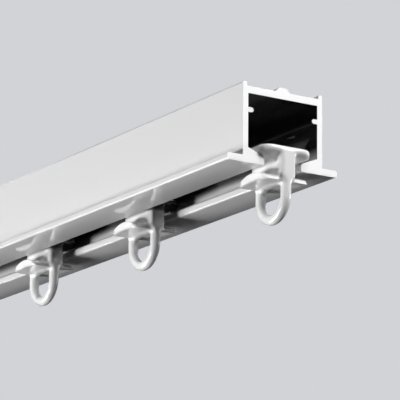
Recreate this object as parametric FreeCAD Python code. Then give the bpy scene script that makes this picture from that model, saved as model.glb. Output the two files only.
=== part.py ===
import FreeCAD, Part
import math
import os

# Curtain track for fixing to a ceiling: one extruded aluminium rail, open at the bottom, and
# the moulded plastic gliders that hang in it and carry the curtain hooks.
# X runs along the rail, Y across it and +Z up. The origin is the middle of the rail's length,
# on the plane of the three feet that bear on the ceiling. All sizes are in millimetres.

# Rail: cut length and fixing holes
rail_length = 200.0
screw_hole = 4.2
screw_spacing = 140.0

# Rail: section. Levels named "above" are measured up from the underside of the flanges.
body_width = 25.0
section_height = 21.85
wall = 1.6
web = 1.95
ear_width = 1.25
ear_rise = 1.15
foot_base = 4.75
foot_top = 2.2
foot_round = 0.6
rib_above = 14.3
rib = 1.3
rib_reach = 1.66
flange_width = 34.5
flange = 1.85
flange_round = 0.5
slot_width = 11.6
nose_above = 2.1
nose_round = 1.0
nose_low_round = 0.5
lip_root_above = 4.15

# Glider: head, the T plate that slides on the lips
glider_length = 14.9
head_bearing_width = 2.1
head_edge = 2.2
head_corner = 3.0
head_top_round = 1.25
head_low_round = 1.1
head_end_face = 1.55
head_end_relief = 1.6
head_relief_depth = 1.0
head_relief_round = 1.5
head_core_inset = 2.9
armpit_round = 1.3
glide_clearance = 0.3

# Glider: flat stem through the slot, and its shoulders where it narrows into the eye
stem_width = 4.65
shoulder_drop = 3.1
shoulder_fall = 0.5
shoulder_round = 0.4
shoulder_hollow = 1.1
shoulder_side_drop = 5.1
tongue_root_width = 2.4
tongue_width = 0.6
tongue_drop = 7.0
tongue_round = 0.25
tongue_cover = 0.12

# Glider: guard leaf under the slot, its top bowed along the rail
leaf_gap = 1.4
leaf = 2.3
leaf_length = 13.0
leaf_width = 14.1
leaf_bow = 11.6
leaf_under_bow = 41.0
leaf_corner = 1.3

# Glider: eye for the curtain hook, a U of round bar closed by the leaf
eye_width = 14.6
eye_bar = 2.8
eye_roof = 0.3
eye_rise = 3.1
eye_top_round = 2.2
eye_bar_root = 0.5

# Gliders along the rail: the first one's middle from the cut end at +X, then middle to middle
first_glider_inset = 4.4
second_glider_spacing = 65.0
third_glider_spacing = 57.2

# Levels and half sizes that follow from the sizes above
underside = -section_height
web_top = -ear_rise
web_low = web_top - web
half_body = body_width / 2
half_inside = half_body - wall
half_flange = flange_width / 2
half_slot = slot_width / 2
lip_slope = (lip_root_above - nose_above) / (half_inside - half_slot)
half_stem = stem_width / 2
half_head = half_slot + head_bearing_width
half_glider = glider_length / 2
half_eye = eye_width / 2
through = 2 * section_height
shortest_edge = 1e-6


def across(y, z):
    """A point of a section across the rail."""
    return FreeCAD.Vector(0, y, z)


def side_on(x, z):
    """A point of an outline seen from the side of the rail."""
    return FreeCAD.Vector(x, 0, z)


def in_plan(x, y):
    """A point of an outline seen from above."""
    return FreeCAD.Vector(x, y, 0)


def outline(corners, place):
    """Closed face through corners (a, b, radius), each rounded by its own arc."""
    points = [place(a, b) for a, b, radius in corners]
    pieces = []
    for i, (a, b, radius) in enumerate(corners):
        corner = points[i]
        back = (points[i - 1] - corner).normalize()
        ahead = (points[(i + 1) % len(points)] - corner).normalize()
        half_angle = back.getAngle(ahead) / 2
        reach = radius / math.tan(half_angle)
        middle = (back + ahead).normalize()
        nearest = radius / math.sin(half_angle) - radius
        pieces.append((corner + back * reach, corner + middle * nearest, corner + ahead * reach))
    edges = []
    for i, (start, middle, end) in enumerate(pieces):
        if (start - end).Length > shortest_edge:
            edges.append(Part.Arc(start, middle, end).toShape())
        following = pieces[(i + 1) % len(pieces)][0]
        if (following - end).Length > shortest_edge:
            edges.append(Part.LineSegment(end, following).toShape())
    return Part.Face(Part.Wire(edges))


def mirrored(half):
    """The corners of one half, then the same corners on the other side, back to the start."""
    return half + [(-a, b, radius) for a, b, radius in reversed(half)]


def prism(face, travel):
    """The face drawn out by equal amounts to both sides of its plane."""
    moved = face.copy()
    moved.translate(travel * -0.5)
    return moved.extrude(travel)


def upright(half_length, half_width, corner):
    """A tall block with four rounded upright edges, for trimming a form to its plan."""
    corners = [(half_length, half_width, corner), (half_length, -half_width, corner)]
    return prism(outline(mirrored(corners), in_plan), FreeCAD.Vector(0, 0, through))


def lip_level(y):
    """Height of the lip's sloping top above the flanges' underside, y from the middle."""
    return nose_above + (y - half_slot) * lip_slope


def rail_section():
    """The extruded section: web with feet, walls with ribs, flanges, and lips at the slot."""
    rib_low = underside + rib_above - rib / 2
    half = [
        (foot_top / 2, 0, foot_round),
        (foot_base / 2, web_top, foot_round),
        (half_body - ear_width, web_top, 0),
        (half_body - ear_width, 0, ear_width / 2),
        (half_body, 0, ear_width / 2),
        (half_body, underside + flange, 0),
        (half_flange, underside + flange, flange_round),
        (half_flange, underside, flange_round),
        (half_slot, underside, nose_low_round),
        (half_slot, underside + nose_above, nose_round),
        (half_inside, underside + lip_root_above, 0),
        (half_inside, rib_low, 0),
        (half_inside - rib_reach, rib_low, rib / 2),
        (half_inside - rib_reach, rib_low + rib, rib / 2),
        (half_inside, rib_low + rib, 0),
        (half_inside, web_low, 0),
    ]
    return outline(mirrored(half), across)


def make_rail():
    """The section drawn out to the rail's length, with screw holes through web and foot."""
    rail = prism(rail_section(), FreeCAD.Vector(rail_length, 0, 0))
    for side in (-1, 1):
        start = FreeCAD.Vector(side * screw_spacing / 2, 0, web_low - web)
        rail = rail.cut(Part.makeCylinder(screw_hole / 2, -start.z + web, start))
    return rail


def make_head(head_top):
    """T plate with a bevelled underside parallel to the lips, rounded into the stem."""
    head_low = lip_level(half_head) + glide_clearance
    pit = lip_level(half_stem) + glide_clearance
    stub_low = -leaf_gap
    half = [
        (half_head, head_top, head_top_round),
        (half_head, head_low, head_low_round),
        (half_stem, pit, armpit_round),
        (half_stem, stub_low, 0),
    ]
    head = prism(outline(mirrored(half), across), FreeCAD.Vector(glider_length, 0, 0))
    relief_top = head_top - head_end_face
    side = outline(
        mirrored([
            (half_glider, head_top, 0),
            (half_glider, relief_top, 0),
            (half_glider - head_end_relief, relief_top - head_relief_depth, head_relief_round),
            (half_glider - head_core_inset, stub_low, 0),
        ]),
        side_on,
    )
    head = head.common(prism(side, FreeCAD.Vector(0, through, 0)))
    return head.common(upright(half_glider, half_head, head_corner))


def make_stem(head_top, eye_top, eye_centre):
    """Flat stem that narrows at its shoulders into a tongue down each side of the eye."""
    half = [
        (half_stem, head_top, 0),
        (half_stem, -shoulder_drop, shoulder_round),
        (tongue_root_width / 2, -shoulder_drop - shoulder_fall, shoulder_hollow),
        (tongue_width / 2, -tongue_drop, tongue_round),
    ]
    stem = prism(outline(mirrored(half), across), FreeCAD.Vector(glider_length, 0, 0))
    side = outline(
        mirrored([
            (half_glider, head_top, 0),
            (half_glider, -shoulder_drop, 0),
            (half_eye, -shoulder_side_drop, 0),
            (half_eye, eye_centre - half_eye, half_eye),
        ]),
        side_on,
    )
    inner = half_eye - eye_bar + tongue_cover
    hole = outline(
        mirrored([
            (inner, eye_top, eye_top_round),
            (inner, eye_centre - inner, inner),
        ]),
        side_on,
    )
    stem = stem.common(prism(side, FreeCAD.Vector(0, through, 0)))
    return stem.cut(prism(hole, FreeCAD.Vector(0, through, 0)))


def make_leaf():
    """Guard leaf: thick in the middle and thin at its ends, with rounded corners."""
    crown = -leaf_gap
    half_length = leaf_length / 2
    end_top = crown - leaf_bow + math.sqrt(leaf_bow ** 2 - half_length ** 2)
    low = crown - leaf
    end_low = low - leaf_under_bow + math.sqrt(leaf_under_bow ** 2 - half_length ** 2)
    top = Part.Arc(side_on(-half_length, end_top), side_on(0, crown), side_on(half_length, end_top))
    under = Part.Arc(side_on(half_length, end_low), side_on(0, low), side_on(-half_length, end_low))
    right = Part.LineSegment(side_on(half_length, end_top), side_on(half_length, end_low))
    left = Part.LineSegment(side_on(-half_length, end_low), side_on(-half_length, end_top))
    face = Part.Face(Part.Wire([edge.toShape() for edge in (top, right, under, left)]))
    blank = prism(face, FreeCAD.Vector(0, leaf_width, 0))
    return blank.common(upright(half_length, leaf_width / 2, leaf_corner))


def make_eye(eye_top, eye_centre):
    """Round bar bent into a U: down out of the leaf, half a turn under the hole, and up again."""
    reach = half_eye - eye_bar / 2
    leg_top = eye_top + eye_roof + eye_bar_root
    left_top = side_on(-reach, leg_top)
    left_low = side_on(-reach, eye_centre)
    right_low = side_on(reach, eye_centre)
    right_top = side_on(reach, leg_top)
    path = Part.Wire([
        Part.LineSegment(left_top, left_low).toShape(),
        Part.Arc(left_low, side_on(0, eye_centre - reach), right_low).toShape(),
        Part.LineSegment(right_low, right_top).toShape(),
    ])
    section = Part.Wire(Part.makeCircle(eye_bar / 2, left_top))
    return path.makePipeShell([section], True, False)


def make_glider():
    """One moulded glider, with its middle over the origin and z = 0 at the flanges' underside."""
    head_top = lip_level(half_head) + glide_clearance + head_edge
    eye_top = -leaf_gap - leaf - eye_roof
    eye_centre = eye_top - eye_rise
    head = make_head(head_top)
    rest = [make_stem(head_top, eye_top, eye_centre), make_leaf(), make_eye(eye_top, eye_centre)]
    return head.fuse(rest).removeSplitter()


os.makedirs("parts", exist_ok=True)
make_rail().exportStep("parts/rail.step")

place = rail_length / 2 - first_glider_inset
glider = make_glider()
spacings = [0, second_glider_spacing, third_glider_spacing]
for number, spacing in enumerate(spacings, start=1):
    place -= spacing
    hung = glider.copy()
    hung.translate(FreeCAD.Vector(place, 0, underside))
    hung.exportStep("parts/glider_%d.step" % number)
    print("glider", number, "at", place, "solids", len(hung.Solids), "valid", hung.isValid())
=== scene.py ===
import math

import bmesh
import bpy
from mathutils import Matrix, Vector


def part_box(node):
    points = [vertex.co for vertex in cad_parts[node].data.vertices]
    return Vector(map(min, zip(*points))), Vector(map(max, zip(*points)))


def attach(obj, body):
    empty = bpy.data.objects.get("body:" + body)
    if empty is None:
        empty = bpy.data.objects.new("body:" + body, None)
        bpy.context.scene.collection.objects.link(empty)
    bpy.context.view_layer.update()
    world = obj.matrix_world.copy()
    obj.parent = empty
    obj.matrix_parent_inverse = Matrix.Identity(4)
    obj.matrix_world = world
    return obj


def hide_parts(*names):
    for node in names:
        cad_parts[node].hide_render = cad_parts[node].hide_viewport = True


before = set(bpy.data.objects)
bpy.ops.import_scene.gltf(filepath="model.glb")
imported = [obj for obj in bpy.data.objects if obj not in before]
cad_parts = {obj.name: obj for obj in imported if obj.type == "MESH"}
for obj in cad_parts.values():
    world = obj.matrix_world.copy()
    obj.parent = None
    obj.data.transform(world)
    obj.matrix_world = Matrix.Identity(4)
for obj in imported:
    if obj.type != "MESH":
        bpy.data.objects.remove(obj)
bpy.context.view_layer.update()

# Viewpoint: low and to one side of the cut end, looking up at the slot along the rail. The
# narrow field of view is that of a long lens, so the rail's edges run nearly parallel.
scene = bpy.context.scene
camera_place = (0.70004, -0.40391, -0.21450)
camera_azimuth = math.radians(57.76)
camera_elevation = math.radians(-14.27)
camera_roll = math.radians(0.618)
field_of_view = math.radians(7.987)

camera = bpy.data.objects.new("camera", bpy.data.cameras.new("camera"))
scene.collection.objects.link(camera)
camera.data.angle = field_of_view
camera.matrix_world = (
    Matrix.Translation(camera_place)
    @ Matrix.Rotation(camera_azimuth, 4, "Z")
    @ Matrix.Rotation(math.pi / 2 - camera_elevation, 4, "X")
    @ Matrix.Rotation(camera_roll, 4, "Z")
)
scene.camera = camera

# Rail: one extruded aluminium length, powder coated in gloss white and cut square. It bears on
# the ceiling with two ears and a foot, and screws go up through the foot. The inside of the
# channel gets no light to speak of, which a matt dark paint stands for.
mm = 0.001
rail_low, rail_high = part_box("rail")
underside = rail_low.z

rail_white = (0.80, 0.80, 0.805, 1.0)
cut_white = (1.0, 1.0, 1.0, 1.0)
paint_roughness = 0.4
paint_ior = 1.5
gloss_share = 1.0
gloss_roughness = 0.02
peel_size = 1.6 * mm
peel_depth = 0.001 * mm
noise_detail = 2.0

# The limits of the painted shade and of the cut face lie just inside the metal, so that each ends
# at an edge of the rail. Above the lips the painted shade comes on gradually.
cut_starts = rail_high.x - 0.02 * mm
channel_painted_shade = (0.002, 0.002, 0.002, 1.0)
dark_roughness = 1.0
channel_half_width = 10.95 * mm
channel_top = rail_high.z - 2.9 * mm
dark_starts = underside + 3.5 * mm
dark_full = underside + 7.8 * mm

# The undersides of the flanges mirror the lamps as if they were bowed very slightly.
flange_middle = 11.5 * mm
pillow_radius = 55 * mm
pillow_edge_radius = 60 * mm
pillow_top = underside + 0.3 * mm
gloss_pillow_share = 0.4


def new_material(name):
    """A material with its node tree and the shader in it."""
    made = bpy.data.materials.new(name)
    made.use_nodes = True
    return made, made.node_tree, made.node_tree.nodes["Principled BSDF"]


def object_place(tree):
    """Object coordinates, in metres, whole and split into X, Y and Z."""
    coordinates = tree.nodes.new("ShaderNodeTexCoord").outputs["Object"]
    split = tree.nodes.new("ShaderNodeSeparateXYZ")
    tree.links.new(coordinates, split.inputs[0])
    return coordinates, split.outputs


def feed(tree, socket, value):
    """Gives a socket a plain number or colour, or wires it to another socket."""
    if isinstance(value, bpy.types.NodeSocket):
        tree.links.new(value, socket)
    else:
        socket.default_value = value


def arithmetic(tree, operation, first, second):
    """One step of arithmetic on sockets or plain numbers."""
    step = tree.nodes.new("ShaderNodeMath")
    step.operation = operation
    feed(tree, step.inputs[0], first)
    feed(tree, step.inputs[1], second)
    return step.outputs[0]


def ramp(tree, value, low, high, low_value=0.0, high_value=1.0):
    """A smooth step from one value to another as the socket goes from low to high."""
    step = tree.nodes.new("ShaderNodeMapRange")
    step.interpolation_type = "SMOOTHSTEP"
    step.inputs["From Min"].default_value = low
    step.inputs["From Max"].default_value = high
    step.inputs["To Min"].default_value = low_value
    step.inputs["To Max"].default_value = high_value
    tree.links.new(value, step.inputs["Value"])
    return step.outputs["Result"]


def blend_colours(tree, share, first, second):
    """The first colour where the share is 0 and the second where it is 1."""
    mix = tree.nodes.new("ShaderNodeMix")
    mix.data_type = "RGBA"
    tree.links.new(share, mix.inputs["Factor"])
    feed(tree, mix.inputs[6], first)
    feed(tree, mix.inputs[7], second)
    return mix.outputs[2]


def fine_noise(tree, coordinates, size, depth):
    """The height of the slight unevenness of a sprayed or moulded surface."""
    noise = tree.nodes.new("ShaderNodeTexNoise")
    noise.inputs["Scale"].default_value = 1 / size
    noise.inputs["Detail"].default_value = noise_detail
    tree.links.new(coordinates, noise.inputs["Vector"])
    return arithmetic(tree, "MULTIPLY", noise.outputs["Fac"], depth)


def relief(tree, shader, height, layer="Normal"):
    """Lets a height, in metres, shape the light on the surface or on its clear coat."""
    bump = tree.nodes.new("ShaderNodeBump")
    bump.inputs["Distance"].default_value = 1.0
    tree.links.new(height, bump.inputs["Height"])
    tree.links.new(bump.outputs["Normal"], shader.inputs[layer])


def bow(tree, distance, radius):
    """The height of a shallow arc at a distance from its crown: below zero, more so further out."""
    square = arithmetic(tree, "MULTIPLY", distance, distance)
    return arithmetic(tree, "MULTIPLY", square, -0.5 / radius)


def flange_pillow(tree, across, height):
    """The slight bow of a flange's underside, stronger in the half that is further out."""
    from_middle = arithmetic(tree, "SUBTRACT", across, flange_middle)
    outwards = arithmetic(tree, "MAXIMUM", from_middle, 0.0)
    whole = bow(tree, from_middle, pillow_radius)
    edge = bow(tree, outwards, pillow_edge_radius)
    underneath = arithmetic(tree, "LESS_THAN", height, pillow_top)
    return arithmetic(tree, "MULTIPLY", arithmetic(tree, "ADD", whole, edge), underneath)


def rail_coating():
    """Gloss white powder coat, with shade painted dark up in the channel, and bright on the cut
    ends.
    """
    made, tree, shader = new_material("rail_coating")
    coordinates, axes = object_place(tree)
    along = arithmetic(tree, "ABSOLUTE", axes["X"], 0.0)
    across = arithmetic(tree, "ABSOLUTE", axes["Y"], 0.0)
    height = axes["Z"]

    inside = arithmetic(tree, "LESS_THAN", across, channel_half_width)
    below_web = arithmetic(tree, "LESS_THAN", height, channel_top)
    dark = arithmetic(tree, "MULTIPLY", inside, below_web)
    dark = arithmetic(tree, "MULTIPLY", dark, ramp(tree, height, dark_starts, dark_full))
    cut = arithmetic(tree, "GREATER_THAN", along, cut_starts)
    colour = blend_colours(tree, dark, rail_white, channel_painted_shade)
    colour = blend_colours(tree, cut, colour, cut_white)
    tree.links.new(colour, shader.inputs["Base Color"])
    roughness = ramp(tree, dark, 0.0, 1.0, paint_roughness, dark_roughness)
    tree.links.new(roughness, shader.inputs["Roughness"])
    shader.inputs["IOR"].default_value = paint_ior
    shader.inputs["Coat Weight"].default_value = gloss_share
    shader.inputs["Coat Roughness"].default_value = gloss_roughness

    peel = fine_noise(tree, coordinates, peel_size, peel_depth)
    pillow = flange_pillow(tree, across, height)
    gloss_pillow = arithmetic(tree, "MULTIPLY", pillow, gloss_pillow_share)
    relief(tree, shader, arithmetic(tree, "ADD", pillow, peel))
    relief(tree, shader, arithmetic(tree, "ADD", gloss_pillow, peel), "Coat Normal")
    return made


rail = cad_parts["rail"]
rail.data.materials.clear()
rail.data.materials.append(rail_coating())

# Gliders: each is one moulding of glossy white plastic, pushed into the channel from a cut end.
# A mould leaves no sharp inner corners, so the creases of the solid are melted into radii. Up in
# the channel the head gets painted shade too, except near the cut end, where light falls in.
glider_white = (0.80, 0.80, 0.80, 1.0)
glider_roughness = 0.17
glider_ior = 1.7
grain_size = 2.0 * mm
grain_depth = 0.003 * mm

# Of the head and the stem in the slot, the faces that look sideways, down or at the near cut end
# get painted shade. Those that look back or up stay white: they show when a glider leaves the far
# end.
head_painted_shade = (0.03, 0.03, 0.031, 1.0)
dim_starts = underside + 0.7 * mm
dim_full = underside + 2.2 * mm
light_starts = rail_high.x - 18 * mm
light_full = rail_high.x - 3 * mm
looks_back = -0.7
looks_aside = -0.3
looks_level = 0.2
looks_up = 0.6

# The leaf, and both ends of the head and stem, get more rounds than the rest.
weld_distance = 0.001 * mm
skin_step = 0.17 * mm
melt_step = 0.5
melt_rounds = 14
leaf_low = underside - 5.4 * mm
leaf_high = underside - 2.9 * mm
leaf_rounds = 34
ends_low = leaf_high - 0.8 * mm
end_reach = 5.0 * mm
end_rounds = 70


def glider_plastic():
    """Glossy white moulded plastic, with shade painted dim on the faces that the channel keeps in
    the dark.
    """
    made, tree, shader = new_material("glider_plastic")
    coordinates, axes = object_place(tree)
    facing = tree.nodes.new("ShaderNodeSeparateXYZ")
    tree.links.new(tree.nodes.new("ShaderNodeTexCoord").outputs["Normal"], facing.inputs[0])
    dim = ramp(tree, axes["Z"], dim_starts, dim_full)
    for share in (
        ramp(tree, axes["X"], light_starts, light_full, 1.0, 0.0),
        ramp(tree, facing.outputs["X"], looks_back, looks_aside),
        ramp(tree, facing.outputs["Z"], looks_level, looks_up, 1.0, 0.0),
    ):
        dim = arithmetic(tree, "MULTIPLY", dim, share)
    colour = blend_colours(tree, dim, glider_white, head_painted_shade)
    tree.links.new(colour, shader.inputs["Base Color"])
    shader.inputs["Roughness"].default_value = glider_roughness
    shader.inputs["IOR"].default_value = glider_ior
    relief(tree, shader, fine_noise(tree, coordinates, grain_size, grain_depth))
    return made


def moulded_copy(node, name):
    """A fine even skin over a copy of the node, smoothed until its creases are radii."""
    blank = bpy.data.objects.new(name + "_blank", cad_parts[node].data.copy())
    scene.collection.objects.link(blank)
    shape = bmesh.new()
    shape.from_mesh(blank.data)
    bmesh.ops.remove_doubles(shape, verts=shape.verts, dist=weld_distance)
    shape.to_mesh(blank.data)
    shape.free()
    skin = blank.modifiers.new("skin", "REMESH")
    skin.mode = "VOXEL"
    skin.voxel_size = skin_step
    melt = blank.modifiers.new("melt", "SMOOTH")
    melt.factor = melt_step
    melt.iterations = melt_rounds
    view = bpy.context.evaluated_depsgraph_get()
    mesh = bpy.data.meshes.new_from_object(blank.evaluated_get(view))
    mesh.name = name
    bpy.data.objects.remove(blank)

    shape = bmesh.new()
    shape.from_mesh(mesh)
    low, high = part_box(node)
    middle = (low.x + high.x) / 2
    leaf = [vert for vert in shape.verts if leaf_low < vert.co.z < leaf_high]
    ends = [vert for vert in shape.verts
            if abs(vert.co.x - middle) > end_reach and vert.co.z > ends_low]
    for softened, rounds in ((leaf, leaf_rounds), (ends, end_rounds)):
        for _ in range(rounds):
            bmesh.ops.smooth_vert(
                shape, verts=softened, factor=melt_step,
                use_axis_x=True, use_axis_y=True, use_axis_z=True,
            )
    shape.to_mesh(mesh)
    shape.free()
    for face in mesh.polygons:
        face.use_smooth = True
    return mesh


plastic = glider_plastic()
first_low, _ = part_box("glider_1")
first_mesh = moulded_copy("glider_1", "glider_skin")
gliders = sorted(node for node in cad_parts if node.startswith("glider_"))
for node in gliders:
    low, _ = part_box(node)
    mesh = first_mesh.copy()
    mesh.transform(Matrix.Translation(low - first_low))
    mesh.materials.clear()
    mesh.materials.append(plastic)
    piece = bpy.data.objects.new(node + "_moulding", mesh)
    scene.collection.objects.link(piece)
    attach(piece, node)
    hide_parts(node)

# Studio: a plain pale floor far below, a surround of the same tone, and soft lamps. Two of them,
# in front of the rail and below it, light its wall, its underside and the gliders. The others
# light the cut ends, the top and the back, and lift the shadows.
surround_pale = (0.638, 0.651, 0.679, 1.0)
room_dim = (0.02, 0.02, 0.021, 1.0)
floor_black = (0.0, 0.0, 0.0, 1.0)
floor_depth = -3.0
floor_half_width = 20.0
lamp_distance = 0.9
rail_middle = (0, 0, -0.02)
near_cut_end = (rail_high.x, 0, 0)
far_cut_end = (rail_low.x, 0, 0)


def lamp(name, azimuth, elevation, width, height, power, aim=rail_middle, only_mirrored=False):
    """A rectangular lamp that faces the aim. Azimuth 0 is in front of the rail's -Y side.

    One that is only mirrored shows as a highlight in the gloss, and lights nothing."""
    made = bpy.data.objects.new(name, bpy.data.lights.new(name, "AREA"))
    made.data.shape = "RECTANGLE"
    made.data.size = width
    made.data.size_y = height
    made.data.energy = power
    made.visible_camera = False
    made.visible_diffuse = not only_mirrored
    made.matrix_world = (
        Matrix.Translation(aim)
        @ Matrix.Rotation(math.radians(azimuth), 4, "Z")
        @ Matrix.Rotation(math.radians(90 - elevation), 4, "X")
        @ Matrix.Translation((0, 0, lamp_distance))
    )
    scene.collection.objects.link(made)


lamp("front_lamp", azimuth=-32, elevation=-27, width=0.4, height=0.2, power=4.2)
lamp("small_lamp", azimuth=-8, elevation=-20, width=0.18, height=0.08, power=5.2)
lamp("glint_lamp", azimuth=-39, elevation=-25, width=0.05, height=0.05, power=18, only_mirrored=True)
lamp("near_lamp", azimuth=75, elevation=3, width=0.3, height=0.1, power=0.35)
lamp("rim_lamp", azimuth=158, elevation=4, width=0.2, height=0.1, power=1.6)
lamp("under_lamp", azimuth=-50, elevation=-55, width=0.6, height=0.6, power=0.3)
lamp("front_high_lamp", azimuth=-20, elevation=30, width=0.4, height=0.3, power=0.3)
lamp("end_lamp", azimuth=118, elevation=30, width=0.3, height=0.3, power=6.5, aim=near_cut_end)
lamp("top_lamp", azimuth=90, elevation=60, width=0.4, height=0.4, power=3.6)
lamp("back_lamp", azimuth=200, elevation=35, width=0.6, height=0.4, power=4.0)
lamp("far_end_lamp", azimuth=250, elevation=20, width=0.2, height=0.2, power=1.5, aim=far_cut_end)

floor_shape = bmesh.new()
bmesh.ops.create_grid(floor_shape, x_segments=1, y_segments=1, size=floor_half_width)
bmesh.ops.translate(floor_shape, verts=floor_shape.verts, vec=(0, 0, floor_depth))
floor_mesh = bpy.data.meshes.new("floor")
floor_shape.to_mesh(floor_mesh)
floor_shape.free()
floor = bpy.data.objects.new("floor", floor_mesh)
scene.collection.objects.link(floor)

# The floor glows evenly in its own tone, so the lamps leave no pools of light on it.
floor_paint, _, floor_shader = new_material("floor_paint")
floor_shader.inputs["Base Color"].default_value = floor_black
floor_shader.inputs["Specular IOR Level"].default_value = 0.0
floor_shader.inputs["Emission Color"].default_value = surround_pale
floor_shader.inputs["Emission Strength"].default_value = 1.0
floor_mesh.materials.append(floor_paint)
floor.visible_diffuse = False
floor.visible_glossy = False

# Only the camera sees the surround pale. To the rail it is a dim room, so that the lamps shape
# the light.
scene.view_settings.view_transform = "Standard"
world = bpy.data.worlds.new("surround")
world.use_nodes = True
scene.world = world
sky = world.node_tree
seen = sky.nodes.new("ShaderNodeLightPath").outputs["Is Camera Ray"]
sky_colour = blend_colours(sky, seen, room_dim, surround_pale)
sky.links.new(sky_colour, sky.nodes["Background"].inputs["Color"])
